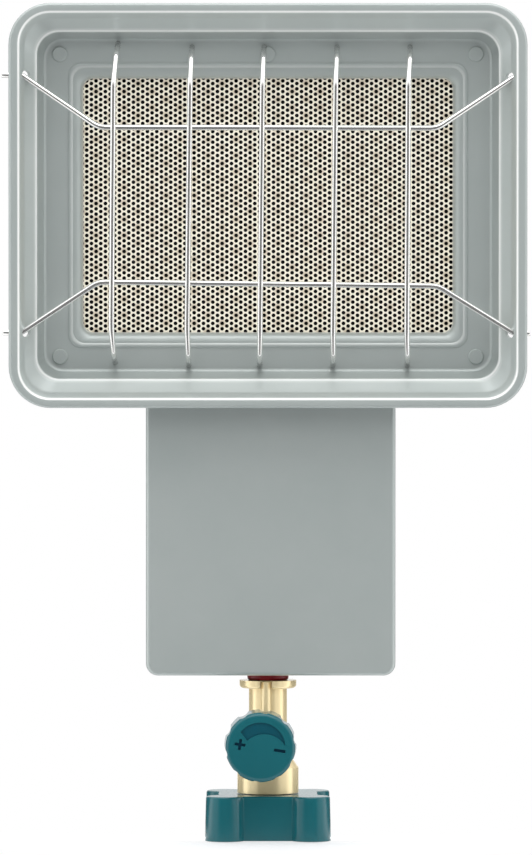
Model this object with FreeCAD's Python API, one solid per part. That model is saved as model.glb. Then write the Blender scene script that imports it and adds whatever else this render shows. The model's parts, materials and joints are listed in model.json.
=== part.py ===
import FreeCAD, Part
import math
import os

# Portable gas heater, millimetres. X right, Y back, Z up.
# Z = 0 is the bottom face of the handwheel, on the thread axis.

V = FreeCAD.Vector
Z_AXIS = V(0, 0, 1)
Y_AXIS = V(0, 1, 0)
X_AXIS = V(1, 0, 0)

# Reflector pan
pan_w = 185.3
pan_h = 144.7
pan_zc = 228.2
rim_y = -30.0
floor_y = -12.0
lip_y = -7.0
sheet = 0.6
skirt = 2.4
bead_h = 0.5
rivet_in = 17.95
plenum_in = 20.2
flange_in = 13.9

# Burner
plenum_t = 0.8
plenum_back = 28.0
plaque_in = 23.65
plaque_w = pan_w - 2 * plaque_in
plaque_h = pan_h - 2 * plaque_in - 0.4
plaque_t = 13.0
hole_r = 0.61
hole_dx = 1.6794
hole_dz = 1.9168
hole_x0 = 0.31
hole_z0 = -0.24
hole_depth = 1.9
deflector_in_x = 25.0
deflector_in_z = 14.5

# Neck
neck_x = 1.0
cover_w = 89.7
cover_front = -14.0
cover_back = 14.0
cover_z0 = 59.2
cover_z1 = 167.0
cover_t = 0.8
cover_lip = 10.85
screw_in = 5.85
bracket_in = 2.85
bracket_t = 1.2

# Mixing tube
tube_r = 7.0
tube_wall = 0.7
tube_y = 17.0

# Guard
wire_r = 1.0
bar_y = -33.0
bar_step = 5.5
cross_y = bar_y + 2 * wire_r
hole_y = -26.3
bar_x = (-55.5, -28.3, -2.4, 23.7, 49.8)
bar_lean = (1.6, 2.5, 2.0, 2.1, 1.1)

# Valve
neck_r = 6.9
flange_r = 10.3
flange_z0 = 54.1
flange_z1 = 57.0
rib_x = -0.7
collar_r = 11.1
collar_z0 = 16.3
collar_z1 = 28.1
stem_r = 6.0
end_r = 8.5
end_z = 7.3
seal_in = 3.6
seal_out = 7.0
spigot_r = 5.0
knob_x = -2.7
knob_z = 34.3
knob_r = 12.95
scallops = 10
scallop_r = 3.6
scallop_d = 0.8
knob_taper = 0.5
knob_in = 14.4
knob_out = 28.7
boss_r = 5.9
spindle_r = 2.5
running = 0.05

# Handwheel
wheel_h = 16.0
wheel_draft = 0.35
wheel_flat = 18.0
lobe_r = 7.0
lobe_at = 15.3
crease_r = 0.7
thread_r = 9.8
nut_r = 13.0
nut_top = 13.0
nut_web = 10.1
thread_l = 7.3


def cyl(radius, height, base=V(0, 0, 0), axis=Z_AXIS):
    return Part.makeCylinder(radius, height, base, axis)


def ring(outer, inner, height, base=V(0, 0, 0), axis=Z_AXIS):
    hole = Part.makeCylinder(inner, height + 2, base - axis * 1, axis)
    return cyl(outer, height, base, axis).cut(hole)


def box(x0, x1, y0, y1, z0, z1):
    return Part.makeBox(x1 - x0, y1 - y0, z1 - z0, V(x0, y0, z0))


def union(shapes):
    first = shapes[0]
    if len(shapes) == 1:
        return first
    return first.fuse(shapes[1:]).removeSplitter()


def turned(points):
    # Solid of revolution about Z from (r, z) points.
    pts = [V(r, 0, z) for r, z in points]
    wire = Part.makePolygon(pts + [pts[0]])
    return Part.Face(wire).revolve(V(0, 0, 0), Z_AXIS, 360)


def hexagon(across, height, base, axis=Z_AXIS, spin=0.0):
    radius = across / math.sqrt(3)
    pts = []
    for i in range(7):
        a = math.radians(60 * i + spin)
        pts.append(V(radius * math.cos(a), radius * math.sin(a), 0))
    prism = Part.Face(Part.makePolygon(pts)).extrude(V(0, 0, height))
    ball = Part.makeSphere(radius * 1.02, V(0, 0, height / 2))
    if height < radius:
        cone = Part.makeCone(radius * 1.05, radius * 0.93, height)
        flip = Part.makeCone(radius * 0.93, radius * 1.05, height)
        prism = prism.common(cone.fuse(ball).common(cyl(radius * 1.05, height))).common(
            flip.fuse(cyl(radius * 0.985, height)))
    prism.Placement = FreeCAD.Placement(base, FreeCAD.Rotation(Z_AXIS, axis))
    return prism


def rect_wire(w, h, r, y, xc=0.0, zc=0.0):
    hw = w / 2
    hh = h / 2
    k = r * (1 - math.sqrt(0.5))
    pts = []
    for sx, sz in ((1, -1), (1, 1), (-1, 1), (-1, -1)):
        a = V(xc + sx * (hw - r), y, zc + sz * hh)
        b = V(xc + sx * (hw - k), y, zc + sz * (hh - k))
        c = V(xc + sx * hw, y, zc + sz * (hh - r))
        pts.append((a, b, c) if sx * sz < 0 else (c, b, a))
    edges = []
    for i in range(4):
        a, b, c = pts[i]
        edges.append(Part.Arc(a, b, c).toShape())
        edges.append(Part.LineSegment(c, pts[(i + 1) % 4][0]).toShape())
    return Part.Wire(edges)


def slab(w, h, r, y0, y1, xc=0.0, zc=pan_zc):
    return Part.Face(rect_wire(w, h, r, y0, xc, zc)).extrude(V(0, y1 - y0, 0))


def along(value, table):
    # Straight-line interpolation in a short table.
    for (a, fa), (b, fb) in zip(table, table[1:]):
        if value <= b:
            return fa + (fb - fa) * (value - a) / (b - a)
    return table[-1][1]


def corner_radius(inset):
    table = ((-1, 16.0), (0, 15.0), (3.45, 11.3), (9.7, 8.2), (13.4, 6.4), (21.3, 4.6), (26.3, 3.7))
    return along(inset, table)


def extra_inset(inset):
    # The top and bottom steps lie a little apart from those of the sides.
    return along(inset, ((-1, 0), (0, 0), (3.45, -0.35), (9.7, 0.25), (13.4, 0.5), (21.3, 0.3), (26.3, 0.5)))


def smooth_line(points, step=24.0):
    # Points are (inset, y, fillet radius). Returns samples with their unit normals.
    out = []
    last = len(points) - 1
    for i, (px, py, rad) in enumerate(points):
        if i in (0, last) or rad == 0:
            j = min(i, last - 1)
            tx = points[j + 1][0] - points[j][0]
            ty = points[j + 1][1] - points[j][1]
            size = math.hypot(tx, ty)
            out.append((px, py, -ty / size, tx / size))
            continue
        ax = points[i - 1][0] - px
        ay = points[i - 1][1] - py
        bx = points[i + 1][0] - px
        by = points[i + 1][1] - py
        la = math.hypot(ax, ay)
        lb = math.hypot(bx, by)
        ax, ay, bx, by = ax / la, ay / la, bx / lb, by / lb
        half = math.acos(max(-1, min(1, ax * bx + ay * by))) / 2
        away = rad / math.sin(half)
        mx, my = ax + bx, ay + by
        ml = math.hypot(mx, my)
        cx, cy = px + mx / ml * away, py + my / ml * away
        side = 1 if (-ax) * by - (-ay) * bx > 0 else -1
        sweep = math.pi - 2 * half
        n = max(1, int(math.ceil(math.degrees(sweep) / step)))
        n1x, n1y = ay, -ax
        for j in range(n + 1):
            a = side * sweep * j / n
            nx = n1x * math.cos(a) - n1y * math.sin(a)
            ny = n1x * math.sin(a) + n1y * math.cos(a)
            out.append((cx - side * nx * rad, cy - side * ny * rad, nx, ny))
    return out


def stack(sections, w=pan_w, h=pan_h, zc=pan_zc):
    # Solid from (inset, y) sections of a rounded rectangle, front to back.
    runs = [[sections[0]]]
    for s in sections[1:]:
        if s[1] - runs[-1][-1][1] < 1e-4:
            runs.append([(s[0], runs[-1][-1][1])])
        else:
            runs[-1].append(s)
    solids = []
    for run in runs:
        if len(run) < 2:
            continue
        wires = []
        for d, y in run:
            wires.append(rect_wire(w - 2 * d, h - 2 * d - 2 * extra_inset(d), corner_radius(d), y, 0, zc))
        solids.append(Part.makeLoft(wires, True, True))
    return union(solids)


def pan_line():
    return smooth_line([
        (3.45, rim_y, 0),
        (5.6, rim_y + 3.3, 5.0),
        (9.3, rim_y + 6.9, 0.5),
        (10.1, rim_y + 7.2, 0.6),
        (12.2, floor_y, 1.6),
        (25.95, floor_y, 3.4),
        (26.25, lip_y, 0),
    ])


def reflector_pan():
    line = pan_line()
    front = [(d, y) for d, y, nx, ny in line]
    back = [(d + nx * sheet, y + ny * sheet) for d, y, nx, ny in line]
    back[0] = (back[0][0] - 0.4, rim_y + sheet)
    back[-1] = (front[-1][0] - sheet, lip_y)
    cavity = [(front[0][0] - 0.6, rim_y - 1), (front[0][0] - 0.1, rim_y)] + front[1:]
    cavity.append((front[-1][0], lip_y + 1))
    edge = 1.2
    rim = []
    under = []
    for i in range(4):
        a = math.radians(30 * i)
        rim.append((edge * (1 - math.sin(a)), rim_y + edge * (1 - math.cos(a))))
        under.append((sheet + (edge - sheet) * (1 - math.sin(a)), rim_y + edge - (edge - sheet) * math.cos(a)))
    rim.append((0, rim_y + skirt))
    under.append((sheet, rim_y + skirt))
    body = stack(rim).cut(stack(under + [(sheet, rim_y + skirt + 1)]))
    body = body.fuse(stack(back)).cut(stack(cavity))
    outer = Part.makeLoft([rect_wire(pan_w - 2 * d, pan_h - 2 * d - 0.6, 4.6, floor_y + y, 0, pan_zc)
                           for d, y in ((21.65, -bead_h), (21.3, -bead_h * 0.8), (20.8, 0.1))], True, True)
    inner = Part.makeLoft([rect_wire(pan_w - 2 * d, pan_h - 2 * d - 0.6, 4.2, floor_y + y, 0, pan_zc)
                           for d, y in ((21.85, -bead_h), (22.2, -bead_h * 0.8), (22.7, 0.1))], True, True)
    body = body.fuse(outer.cut(inner))
    for sx, z in wire_holes():
        body = body.cut(cyl(1.6, 12, V(sx * (pan_w / 2 - 10), hole_y, z), V(sx, 0, 0)))
    for x, z in rivet_places():
        body = body.cut(cyl(1.6, 4, V(x, floor_y - 1, z), Y_AXIS))
    return body


def wire_holes():
    up = pan_zc + pan_h / 2
    low = pan_zc - pan_h / 2
    return ((-1, up - 25.75), (1, up - 26.45), (-1, low + 26.95), (1, low + 26.65))


def rivet_places():
    x = pan_w / 2 - rivet_in
    z = pan_h / 2 - rivet_in - 0.1
    corners = [(sx * x, pan_zc + sz * z) for sx in (-1, 1) for sz in (-1, 1)]
    return corners + [(0.0, pan_zc + z)]


def pan_rivets():
    parts = []
    for x, z in rivet_places():
        shank = cyl(1.6, sheet + plenum_t, V(x, floor_y, z), Y_AXIS)
        head = cyl(2.8, 0.8, V(x, floor_y - 0.8, z), Y_AXIS)
        head = head.makeChamfer(0.35, [e for e in head.Edges if abs(e.BoundBox.YMax - floor_y + 0.8) < 1e-3])
        tail = cyl(2.3, 0.9, V(x, floor_y + sheet + plenum_t, z), Y_AXIS)
        solid = shank.fuse([head, tail]).removeSplitter()
        if x == 0.0:
            # The middle head is notched for the end of the middle bar.
            solid = solid.cut(rod(bar_points(2), bar_bends, wire_r + running))
        parts.append(solid)
    return Part.makeCompound(parts)


flange_front = floor_y + sheet
wall_w = pan_w - 2 * plenum_in
wall_h = pan_h - 2 * plenum_in - 2.7


def burner_housing():
    y0 = flange_front
    r = 5.2
    outer = slab(wall_w, wall_h, r, y0, plenum_back)
    rear = [e for e in outer.Edges if e.BoundBox.YMin > plenum_back - 1e-3]
    outer = outer.makeFillet(3.0, rear)
    flange = slab(pan_w - 2 * flange_in, pan_h - 2 * flange_in - 2.9, 4.5, y0, y0 + plenum_t)
    body = outer.fuse(flange)
    inner = slab(wall_w - 2 * plenum_t, wall_h - 2 * plenum_t, r - plenum_t, y0 - 1, plenum_back - plenum_t)
    rear = [e for e in inner.Edges if e.BoundBox.YMin > plenum_back - plenum_t - 1e-3]
    inner = inner.makeFillet(2.2, rear)
    body = body.cut(inner)
    dent = plenum_back - 1.6
    body = body.fuse(slab(wall_w - 24.4, wall_h - 24.4, 8.8, dent - plenum_t, plenum_back))
    body = body.cut(slab(wall_w - 26, wall_h - 26, 8, dent, plenum_back + 1))
    for x, z in rivet_places():
        body = body.cut(cyl(1.6, 4, V(x, y0 - 1, z), Y_AXIS))
    zb = pan_zc - wall_h / 2
    body = body.cut(cyl(tube_r, 4, V(0, tube_y, zb - 1)))
    for x in tab_rivets():
        body = body.cut(cyl(1.5, 4, V(x, tab_y, zb - 1)))
    return body


def plaque_gasket():
    y0 = lip_y
    outer = slab(wall_w - 2 * plenum_t, wall_h - 2 * plenum_t, 5.2 - plenum_t, y0 + 0.4, y0 + plaque_t)
    return outer.cut(slab(plaque_w, plaque_h, 3.0, y0 - 1, y0 + plaque_t + 1))


def ceramic_plaque():
    # Of its fine flame holes the solid has those of every eighth column and seventh row.
    body = slab(plaque_w, plaque_h, 3.0, lip_y, lip_y + plaque_t)
    holes = []
    for i in range(-4, 5):
        for j in range(-3, 4):
            x = hole_x0 + 8 * i * hole_dx
            z = pan_zc + hole_z0 + 7 * j * hole_dz
            holes.append(cyl(hole_r, hole_depth + 1, V(x, lip_y - 1, z), Y_AXIS))
    return body.cut(holes)


def plaque_frame():
    y0 = lip_y + plaque_t
    wide = slab(wall_w - 2 * plenum_t, wall_h - 2 * plenum_t, 5.2 - plenum_t, y0, y0 + 3.4)
    wide = wide.cut(slab(wall_w - 2 * plenum_t - 1.4, wall_h - 2 * plenum_t - 1.4, 4, y0 + 0.7, y0 + 8))
    return wide.cut(slab(plaque_w - 10, plaque_h - 10, 4, y0 - 1, y0 + 8))


def gas_deflector():
    y1 = plenum_back - 1.6 - 0.8
    y0 = y1 - 14
    z0 = pan_zc - plaque_h / 2 + deflector_in_z
    z1 = pan_zc + plaque_h / 2 - deflector_in_z
    x1 = plaque_w / 2 - deflector_in_x
    plate = box(-x1, x1, y0, y0 + 0.8, z0, z1)
    legs = [box(x1 - 0.8, x1, y0, y1, z0 + 8, z1 - 8), box(-x1, 0.8 - x1, y0, y1, z0 + 8, z1 - 8)]
    feet = [box(x1 - 0.8, x1 + 8, y1 - 0.8, y1, z0 + 8, z1 - 8)]
    feet.append(box(-x1 - 8, 0.8 - x1, y1 - 0.8, y1, z0 + 8, z1 - 8))
    return union([plate] + legs + feet)


def bent_path(points, radii):
    edges = []
    here = points[0]
    for i, p in enumerate(points[1:-1], 1):
        a = (points[i - 1] - p).normalize()
        b = (points[i + 1] - p).normalize()
        half = a.getAngle(b) / 2
        rad = radii[i - 1]
        back_off = rad / math.tan(half)
        centre = p + (a + b).normalize() * (rad / math.sin(half))
        start = p + a * back_off
        end = p + b * back_off
        mid = centre + (p - centre).normalize() * rad
        edges.append(Part.LineSegment(here, start).toShape())
        edges.append(Part.Arc(start, mid, end).toShape())
        here = end
    edges.append(Part.LineSegment(here, points[-1]).toShape())
    return Part.Wire(edges)


def rod(points, radii, radius):
    path = bent_path(points, radii)
    start = (points[1] - points[0]).normalize()
    circle = Part.Wire(Part.makeCircle(radius, points[0], start))
    return path.makePipeShell([circle], True, False)


def mixing_tube():
    zb = pan_zc - wall_h / 2
    pts = [V(0, 0, flange_z1 + 11), V(0, 0, zb - 65.4), V(0, tube_y, zb - 31.4), V(0, tube_y, zb + 14)]
    tube = rod(pts, [22, 22], tube_r).cut(rod(pts, [22, 22], tube_r - tube_wall))
    for a in (0, 90):
        slot = box(-1.7, 1.7, -20, 20, 78.5, 85.5)
        slot = slot.fuse([cyl(1.7, 40, V(0, -20, 78.5), Y_AXIS), cyl(1.7, 40, V(0, -20, 85.5), Y_AXIS)])
        slot.rotate(V(0, 0, 0), Z_AXIS, a + 45)
        tube = tube.cut(slot)
    return tube


def tube_collar():
    zb = pan_zc - wall_h / 2
    low = ring(9.2, tube_r, 4.5, V(0, tube_y, zb - 4.5))
    top = ring(10.8, tube_r, 1.2, V(0, tube_y, zb - 1.2))
    return low.fuse(top).removeSplitter()


def cover_section(inset, y0, y1, z_top):
    # Outline with round lower corners, pushed along Y.
    r = 4.4 - inset
    x0 = neck_x - cover_w / 2 + inset
    x1 = neck_x + cover_w / 2 - inset
    z0 = cover_z0 + inset
    k = r * (1 - math.sqrt(0.5))
    edges = [
        Part.LineSegment(V(x0, y0, z_top), V(x0, y0, z0 + r)).toShape(),
        Part.Arc(V(x0, y0, z0 + r), V(x0 + k, y0, z0 + k), V(x0 + r, y0, z0)).toShape(),
        Part.LineSegment(V(x0 + r, y0, z0), V(x1 - r, y0, z0)).toShape(),
        Part.Arc(V(x1 - r, y0, z0), V(x1 - k, y0, z0 + k), V(x1, y0, z0 + r)).toShape(),
        Part.LineSegment(V(x1, y0, z0 + r), V(x1, y0, z_top)).toShape(),
        Part.LineSegment(V(x1, y0, z_top), V(x0, y0, z_top)).toShape(),
    ]
    return Part.Face(Part.Wire(edges)).extrude(V(0, y1 - y0, 0))


screw_z = (76.0, 156.0)
screw_dx = cover_w / 2 - screw_in


def neck_cover():
    edge = 1.6
    outer = cover_section(0, cover_front, cover_back, cover_z1)
    rim = [e for e in outer.Edges if e.BoundBox.YMax < cover_front + 1e-3 and e.BoundBox.ZMin < cover_z1 - 0.1]
    outer = outer.makeFillet(edge, rim)
    inner = cover_section(cover_t, cover_front + cover_t, cover_back + 1, cover_z1 + 1)
    rim = [e for e in inner.Edges
           if e.BoundBox.YMax < cover_front + cover_t + 1e-3 and e.BoundBox.ZMin < cover_z1 + 0.9]
    inner = inner.makeFillet(edge - cover_t, rim)
    body = outer.cut(inner)
    for sx in (-1, 1):
        xa = neck_x + sx * (cover_w / 2 - cover_t / 2)
        xb = neck_x + sx * (cover_w / 2 - cover_lip)
        lip = box(min(xa, xb), max(xa, xb), cover_back - cover_t, cover_back, 66, cover_z1 - 4)
        body = body.fuse(lip)
        for z in screw_z:
            body = body.cut(cyl(1.75, 6, V(neck_x + sx * screw_dx, cover_back - 3, z), Y_AXIS))
    body = body.cut(cyl(spigot_r, 4, V(0, 0, cover_z0 - 1)))
    return body.removeSplitter()


tab_y = 20.5


def tab_rivets():
    outer = cover_w / 2 - bracket_in - 8
    return (neck_x - outer, neck_x - outer + 12, neck_x + outer - 12, neck_x + outer)


def neck_bracket():
    z0 = cover_z0 + cover_t
    zb = pan_zc - wall_h / 2
    y0 = cover_back
    y1 = y0 + bracket_t
    w = cover_w / 2 - bracket_in
    plate = box(neck_x - w, neck_x + w, y0, y1, z0, zb)
    base = box(neck_x - w + 3, neck_x + w - 3, cover_front + 2.4, y1, z0, z0 + bracket_t)
    tabs = box(neck_x - w, neck_x + w, y0, 26.0, zb - bracket_t, zb)
    body = union([plate, base, tabs])
    bend = [e for e in body.Edges if abs(e.BoundBox.YMin - y1) < 1e-3 and abs(e.BoundBox.YMax - y1) < 1e-3
            and e.BoundBox.ZMax < z0 + 0.01]
    body = body.makeFillet(bracket_t * 0.9, bend)
    window = box(-14, 14, y0 - 5, 30, 118, zb + 1)
    window = window.fuse(cyl(14, 40, V(0, y0 - 5, 118), Y_AXIS))
    body = body.cut(window)
    for i in range(5):
        body = body.cut(cyl(3.2, 10, V(neck_x + 13 * (i - 2), y0 - 3, 88), Y_AXIS))
    for sx in (-1, 1):
        for z in screw_z:
            body = body.cut(cyl(1.75, 6, V(neck_x + sx * screw_dx, y0 - 3, z), Y_AXIS))
    for x in tab_rivets():
        body = body.cut(cyl(1.5, 4, V(x, tab_y, zb - 3)))
    body = body.cut(cyl(spigot_r, 4, V(0, 0, z0 - 1)))
    return body


def cover_screws():
    parts = []
    y1 = cover_back + bracket_t
    for sx in (-1, 1):
        for z in screw_z:
            x = neck_x + sx * screw_dx
            head = cyl(3.3, 2.0, V(x, y1, z), Y_AXIS)
            top = [e for e in head.Edges if e.BoundBox.YMin > y1 + 1.9]
            head = head.makeChamfer(0.6, top)
            cross = box(x - 1.7, x + 1.7, y1 + 1.0, y1 + 3, z - 0.35, z + 0.35)
            cross = cross.fuse(box(x - 0.35, x + 0.35, y1 + 1.0, y1 + 3, z - 1.7, z + 1.7))
            shank = cyl(1.75, 6.0, V(x, y1 - 6.0, z), Y_AXIS)
            parts.append(head.fuse(shank).removeSplitter().cut(cross))
    return Part.makeCompound(parts)


def bracket_rivets():
    zb = pan_zc - wall_h / 2
    parts = []
    for x in tab_rivets():
        head = cyl(2.6, 1.0, V(x, tab_y, zb - bracket_t - 1.0))
        low = [e for e in head.Edges if e.BoundBox.ZMax < zb - bracket_t - 0.9]
        head = head.makeChamfer(0.5, low)
        shank = cyl(1.5, bracket_t + plenum_t, V(x, tab_y, zb - bracket_t))
        tail = cyl(2.2, 0.8, V(x, tab_y, zb + plenum_t))
        parts.append(head.fuse([shank, tail]).removeSplitter())
    return Part.makeCompound(parts)


def cross_wire(z_left, z_right, hole_left, hole_right, tip_left, tip_right):
    # Ends run level through the pan wall, then slope to the straight middle part.
    x_hole = pan_w / 2 - 4.6
    pts = [
        V(-tip_left, hole_y, hole_left),
        V(-x_hole, hole_y, hole_left),
        V(32.15 - pan_w / 2, cross_y, z_left),
        V(pan_w / 2 - 32.15, cross_y, z_right),
        V(x_hole, hole_y, hole_right),
        V(tip_right, hole_y, hole_right),
    ]
    return rod(pts, [2.5, 8.0, 8.0, 2.5], wire_r)


def guard_upper_wire():
    holes = wire_holes()
    half = pan_w / 2
    up = pan_zc + pan_h / 2
    return cross_wire(up - 44.45, up - 44.75, holes[0][1], holes[1][1], half + 2.6, half - 0.3)


def guard_lower_wire():
    holes = wire_holes()
    half = pan_w / 2
    low = pan_zc - pan_h / 2
    return cross_wire(low + 45.05, low + 43.65, holes[2][1], holes[3][1], half + 2.2, half + 1.2)


def bar_points(i):
    x = bar_x[i]
    lean = bar_lean[i] * 0.36 / 72.0
    ends = ((1.7, 0.6), (1.1, -0.1), (1.0, -0.6), (1.1, -0.3), (1.3, 0.2))[i]
    top = pan_h / 2 - (15.35 if i else 14.05)
    low = -pan_h / 2 + (14.75 if i else 15.95)
    # Each end slopes back gently at first, then steeply to the floor.
    h0 = pan_zc - pan_h / 2 + 27.55
    h1 = pan_zc + pan_h / 2 - 28.95
    low = pan_zc + low
    top = pan_zc + top
    k = 0.3
    x0 = x - lean * 45
    x1 = x + lean * 43
    xa = x + ends[1]
    xb = x + ends[0]
    return [
        V(xa, floor_y + 0.5, low),
        V(xa + (x0 - xa) * k, bar_y + bar_step, low + (h0 - low) * k),
        V(x0, bar_y, h0),
        V(x1, bar_y, h1),
        V(xb + (x1 - xb) * k, bar_y + bar_step, top + (h1 - top) * k),
        V(xb, floor_y + 0.5, top),
    ]


bar_bends = [3.0, 8.0, 8.0, 3.0]


def guard_bar(i):
    x = bar_x[i]
    body = rod(bar_points(i), bar_bends, wire_r)
    return body.cut(box(x - 10, x + 10, floor_y, floor_y + 5, pan_zc - 70, pan_zc + 70))


def neck_seal():
    body = ring(7.45, spigot_r, cover_z0 - flange_z1, V(0, 0, flange_z1))
    low = [e for e in body.Edges if e.BoundBox.ZMax < flange_z1 + 1e-3 and e.BoundBox.XMax > 7]
    return body.makeFillet(0.9, low)


def lock_nut():
    z0 = cover_z0 + cover_t + bracket_t
    return hexagon(17.0, 5.0, V(0, 0, z0)).cut(cyl(spigot_r, 7, V(0, 0, z0 - 1)))


def injector():
    z0 = flange_z1 + 11
    r = tube_r - tube_wall
    body = turned([
        (0, z0), (r, z0), (r, z0 + 6), (r - 0.8, z0 + 6.8),
        (3.2, z0 + 6.8), (2.0, z0 + 10.5), (0, z0 + 10.5),
    ])
    body = body.cut(cyl(spigot_r, 4.01, V(0, 0, z0 - 0.01)))
    return body.cut(cyl(0.5, 12, V(0, 0, z0 + 3)))


def front_cylinder(radius, start, end):
    # A cylinder on the knob's axis, from start to end in front of the thread axis.
    return cyl(radius, end - start, V(knob_x, -start, knob_z), V(0, -1, 0))


def valve_body():
    c = collar_z1 - 2.7
    profile = [
        (0, end_z), (end_r, end_z), (end_r, end_z + 2.5), (stem_r, end_z + 2.5), (stem_r, collar_z0),
        (collar_r, collar_z0), (collar_r, c), (collar_r - 1.9, collar_z1), (neck_r, collar_z1),
        (neck_r, flange_z0), (flange_r, flange_z0),
        (flange_r, flange_z1), (spigot_r, flange_z1), (spigot_r, flange_z1 + 15), (0, flange_z1 + 15),
    ]
    body = turned(profile)
    low = [e for e in body.Edges if abs(e.BoundBox.ZMax - flange_z0) < 1e-3 and e.BoundBox.XMax > flange_r - 0.01]
    body = body.makeFillet(1.3, low)
    boss = front_cylinder(boss_r, 0, 11.5)
    body = body.fuse(boss)
    notch = box(rib_x - 2.2, rib_x + 2.2, -12, -7.4, flange_z0 - 1, flange_z1 + 1)
    body = body.cut(notch)
    post = cyl(1.65, flange_z1 - 0.4 - 38, V(rib_x, -7.6, 38.0))
    body = body.fuse(post)
    body = body.cut(ring(seal_out, seal_in, 1.6, V(0, 0, end_z)))
    body = body.cut(front_cylinder(4.0, 5.0, 12))
    body = body.cut(front_cylinder(spindle_r + running, -0.5, 6))
    return body.cut(cyl(1.5, 80, V(0, 0, 0)))


def gland_nut():
    nut = hexagon(12.0, 3.2, V(knob_x, -11.5, knob_z), V(0, -1, 0))
    nut = nut.fuse(front_cylinder(4.0, 8.8, 11.6))
    return nut.cut(front_cylinder(spindle_r + running, 0, 20))


def spindle():
    rod_part = front_cylinder(spindle_r, 2.4, 25.4)
    tip = Part.makeCone(0.9, spindle_r, 2.0, V(knob_x, -0.4, knob_z), V(0, -1, 0))
    return rod_part.fuse(tip).removeSplitter()


def spindle_oring():
    outer = 4.0 - running
    inner = spindle_r + running
    body = front_cylinder(outer, 5.4, 6.8).cut(front_cylinder(inner, 5, 7))
    return body


def control_knob():
    # Slightly tapered to the front, with scallops all round and a round front edge.
    depth = knob_out - knob_in
    body = Part.makeCone(knob_r, knob_r - knob_taper, depth, V(knob_x, -knob_in, knob_z), V(0, -1, 0))
    edge = [e for e in body.Edges if e.BoundBox.YMax < -knob_out + 1e-3]
    body = body.makeFillet(1.6, edge)
    cutters = []
    for i in range(scallops):
        a = math.radians(10.8 + 360.0 * i / scallops)
        r = knob_r + scallop_r - scallop_d
        at = V(knob_x + r * math.cos(a), -knob_out - 1, knob_z + r * math.sin(a))
        cutters.append(cyl(scallop_r, depth + 3, at, Y_AXIS))
    body = body.cut(cutters)
    body = body.cut(front_cylinder(knob_r - 2.4, knob_in - 1, knob_out - 2.4))
    body = body.fuse(front_cylinder(5.0, knob_in + 1.4, knob_out - 2.0))
    for i in range(4):
        web = box(4, knob_r - 2, -knob_out + 2, -knob_in - 3, -0.6, 0.6)
        web.rotate(V(0, 0, 0), Y_AXIS, 45 + 90 * i)
        web.translate(V(knob_x, 0, knob_z))
        body = body.fuse(web)
    return body.cut(front_cylinder(spindle_r, knob_in - 2, 25.4))


def wheel_outline(z, out):
    # Square with a round lobe at each corner, at height z, moved outwards by out.
    flat = wheel_flat + out
    r = lobe_r + out
    f = crease_r - out
    fx = lobe_at - math.sqrt((r + f) ** 2 - (flat + f - lobe_at) ** 2)
    fillet = V(fx, flat + f, 0)
    lobe = V(lobe_at, lobe_at, 0)
    touch = lobe + (fillet - lobe).normalize() * r
    low = V(fx, flat, 0)
    mid = fillet + ((touch + low) * 0.5 - fillet).normalize() * f
    apex = lobe + V(1, 1, 0).normalize() * r
    corner = [low, mid, touch, apex]
    other = [V(p.y, p.x, 0) for p in (touch, mid, low)]
    points = []
    for i in range(4):
        turn = FreeCAD.Rotation(Z_AXIS, -90 * i)
        points.append([turn.multVec(p) for p in corner + other])
    edges = []
    for i in range(4):
        a, b, c, d, e, g, h = points[i]
        edges.append(Part.Arc(a, b, c).toShape())
        edges.append(Part.Arc(c, d, e).toShape())
        edges.append(Part.Arc(e, g, h).toShape())
        edges.append(Part.LineSegment(h, points[(i + 1) % 4][0]).toShape())
    wire = Part.Wire(edges)
    wire.translate(V(0, 0, z))
    return wire


def handwheel():
    body = Part.makeLoft([wheel_outline(0, wheel_draft), wheel_outline(wheel_h, 0)], True, True)
    top = [e for e in body.Edges if e.BoundBox.ZMin > wheel_h - 1e-3]
    body = body.makeFillet(0.7, top)
    body = body.cut(cyl(nut_r, nut_top + 1, V(0, 0, -1)))
    body = body.cut(cyl(stem_r + 0.6, 30, V(0, 0, -1)))
    for sx in (-1, 1):
        for sy in (-1, 1):
            body = body.cut(cyl(4.6, 11, V(sx * lobe_at, sy * lobe_at, -1)))
    return body


def union_nut():
    body = cyl(nut_r, nut_top, V(0, 0, 0))
    body = body.cut(cyl(thread_r, thread_l + 1, V(0, 0, -1)))
    body = body.cut(cyl(thread_r + 0.6, nut_web - thread_l, V(0, 0, thread_l)))
    return body.cut(cyl(stem_r + running, 20, V(0, 0, 0)))


def cylinder_seal():
    return ring(seal_out, seal_in, 1.6, V(0, 0, end_z))


def inlet_filter():
    z0 = end_z + 0.2
    return turned([(0, z0), (1.5, z0), (1.5, z0 + 4.0), (1.0, z0 + 4.6), (0, z0 + 4.6)])


def all_parts():
    parts = {
        "reflector_pan": reflector_pan,
        "pan_rivets": pan_rivets,
        "burner_housing": burner_housing,
        "ceramic_plaque": ceramic_plaque,
        "plaque_gasket": plaque_gasket,
        "plaque_frame": plaque_frame,
        "gas_deflector": gas_deflector,
        "mixing_tube": mixing_tube,
        "tube_collar": tube_collar,
        "neck_cover": neck_cover,
        "neck_bracket": neck_bracket,
        "cover_screws": cover_screws,
        "bracket_rivets": bracket_rivets,
        "guard_upper_wire": guard_upper_wire,
        "guard_lower_wire": guard_lower_wire,
        "neck_seal": neck_seal,
        "lock_nut": lock_nut,
        "injector": injector,
        "valve_body": valve_body,
        "gland_nut": gland_nut,
        "spindle": spindle,
        "spindle_oring": spindle_oring,
        "control_knob": control_knob,
        "handwheel": handwheel,
        "union_nut": union_nut,
        "cylinder_seal": cylinder_seal,
        "inlet_filter": inlet_filter,
    }
    for i in range(len(bar_x)):
        parts["guard_bar_%d" % (i + 1)] = lambda n=i: guard_bar(n)
    return parts


os.makedirs("parts", exist_ok=True)
for name, make in all_parts().items():
    shape = make()
    shape.exportStep("parts/" + name + ".step")
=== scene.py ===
import json
import math

import bmesh
import bpy
from mathutils import Matrix, Vector


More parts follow.
